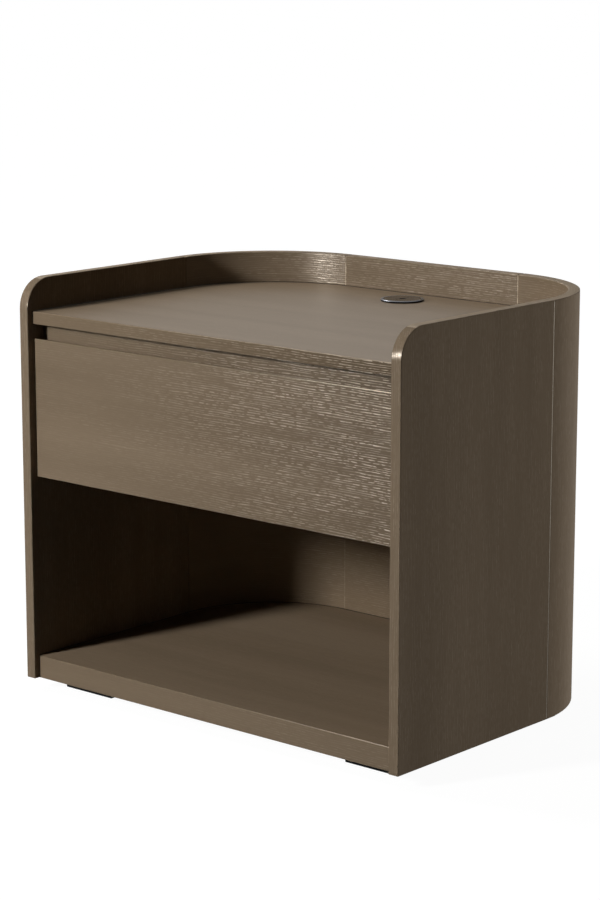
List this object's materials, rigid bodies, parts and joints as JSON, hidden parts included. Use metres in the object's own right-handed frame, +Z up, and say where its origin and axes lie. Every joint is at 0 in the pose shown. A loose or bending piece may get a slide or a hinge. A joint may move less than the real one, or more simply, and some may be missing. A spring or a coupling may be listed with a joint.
{
  "type": "bedside cabinet",
  "caption": "Wood-veneered bedside cabinet with a wrap-around rounded back, low gallery, handleless drawer on ball slides, open niche, block feet and a charging disc in the top.",
  "frame": {"origin": "on the floor under the middle of the body", "axes": "+X to the right along the width, +Y from the front to the back, +Z up"},
  "size_m": [0.6, 0.444, 0.522],
  "materials": {
    "veneer": "taupe-stained open-grain veneer under satin lacquer",
    "box_board": "plain laminated board",
    "tongue_board": "raw board",
    "foot_plastic": "matt black",
    "charger_plastic": "matt black",
    "trim_metal": "dark polished metal",
    "cover_gloss": "gloss black",
    "coil_copper": "enamelled copper",
    "circuit_board": "green board",
    "zinc_steel": "zinc-plated",
    "zinc_screw": "zinc-plated",
    "bumper": "soft clear"
  },
  "bodies": {
    "body": {"back_panel": "veneer", "bottom_panel": "veneer", "charger_board": "circuit_board", "charger_coil": "coil_copper", "charger_cover": "cover_gloss", "charger_housing": "charger_plastic", "charger_inlet": "charger_plastic", "charger_nut": "charger_plastic", "charger_trim_ring": "trim_metal", "divider_panel": "veneer", "finger_rail": "veneer", "left_back_spline": "tongue_board", "left_front_foot": "foot_plastic", "left_front_foot_screw": "zinc_screw", "left_rear_corner": "veneer", "left_rear_foot": "foot_plastic", "left_rear_foot_screw": "zinc_screw", "left_side_panel": "veneer", "left_side_spline": "tongue_board", "left_slide_cabinet_front_screw": "zinc_screw", "left_slide_cabinet_member": "zinc_steel", "left_slide_cabinet_rear_screw": "zinc_screw", "right_back_spline": "tongue_board", "right_front_foot": "foot_plastic", "right_front_foot_screw": "zinc_screw", "right_rear_corner": "veneer", "right_rear_foot": "foot_plastic", "right_rear_foot_screw": "zinc_screw", "right_side_panel": "veneer", "right_side_spline": "tongue_board", "right_slide_cabinet_front_screw": "zinc_screw", "right_slide_cabinet_member": "zinc_steel", "right_slide_cabinet_rear_screw": "zinc_screw", "top_panel": "veneer"},
    "drawer": {"drawer_back": "box_board", "drawer_bottom": "box_board", "drawer_box_front": "box_board", "drawer_front": "veneer", "drawer_front_screw_1": "zinc_screw", "drawer_front_screw_2": "zinc_screw", "drawer_front_screw_3": "zinc_screw", "drawer_front_screw_4": "zinc_screw", "drawer_left_bumper": "bumper", "drawer_left_side": "box_board", "drawer_right_bumper": "bumper", "drawer_right_side": "box_board", "left_slide_drawer_front_screw": "zinc_screw", "left_slide_drawer_member": "zinc_steel", "left_slide_drawer_rear_screw": "zinc_screw", "right_slide_drawer_front_screw": "zinc_screw", "right_slide_drawer_member": "zinc_steel", "right_slide_drawer_rear_screw": "zinc_screw"},
    "left_slide_middle": {"left_slide_middle_member": "zinc_steel"},
    "left_slide_outer_cage": {"left_slide_outer_cage": "zinc_steel"},
    "left_slide_inner_cage": {"left_slide_inner_cage": "zinc_steel"},
    "right_slide_middle": {"right_slide_middle_member": "zinc_steel"},
    "right_slide_outer_cage": {"right_slide_outer_cage": "zinc_steel"},
    "right_slide_inner_cage": {"right_slide_inner_cage": "zinc_steel"}
  },
  "joints": [
    {"name": "drawer_slide", "type": "slide", "parent": "body", "child": "drawer", "axis": [0, -1, 0], "range_m": [0, 0.25]},
    {"name": "left_middle_slide", "type": "slide", "parent": "body", "child": "left_slide_middle", "axis": [0, -1, 0], "range_m": [0, 0.125]},
    {"name": "left_outer_cage_slide", "type": "slide", "parent": "body", "child": "left_slide_outer_cage", "axis": [0, -1, 0], "range_m": [0, 0.0625]},
    {"name": "left_inner_cage_slide", "type": "slide", "parent": "body", "child": "left_slide_inner_cage", "axis": [0, -1, 0], "range_m": [0, 0.1875]},
    {"name": "right_middle_slide", "type": "slide", "parent": "body", "child": "right_slide_middle", "axis": [0, -1, 0], "range_m": [0, 0.125]},
    {"name": "right_outer_cage_slide", "type": "slide", "parent": "body", "child": "right_slide_outer_cage", "axis": [0, -1, 0], "range_m": [0, 0.0625]},
    {"name": "right_inner_cage_slide", "type": "slide", "parent": "body", "child": "right_slide_inner_cage", "axis": [0, -1, 0], "range_m": [0, 0.1875]}
  ],
  "couplings": [
    {"joint": "left_middle_slide", "follows": "drawer_slide", "ratio": 0.5},
    {"joint": "left_outer_cage_slide", "follows": "drawer_slide", "ratio": 0.25},
    {"joint": "left_inner_cage_slide", "follows": "drawer_slide", "ratio": 0.75},
    {"joint": "right_middle_slide", "follows": "drawer_slide", "ratio": 0.5},
    {"joint": "right_outer_cage_slide", "follows": "drawer_slide", "ratio": 0.25},
    {"joint": "right_inner_cage_slide", "follows": "drawer_slide", "ratio": 0.75}
  ]
}
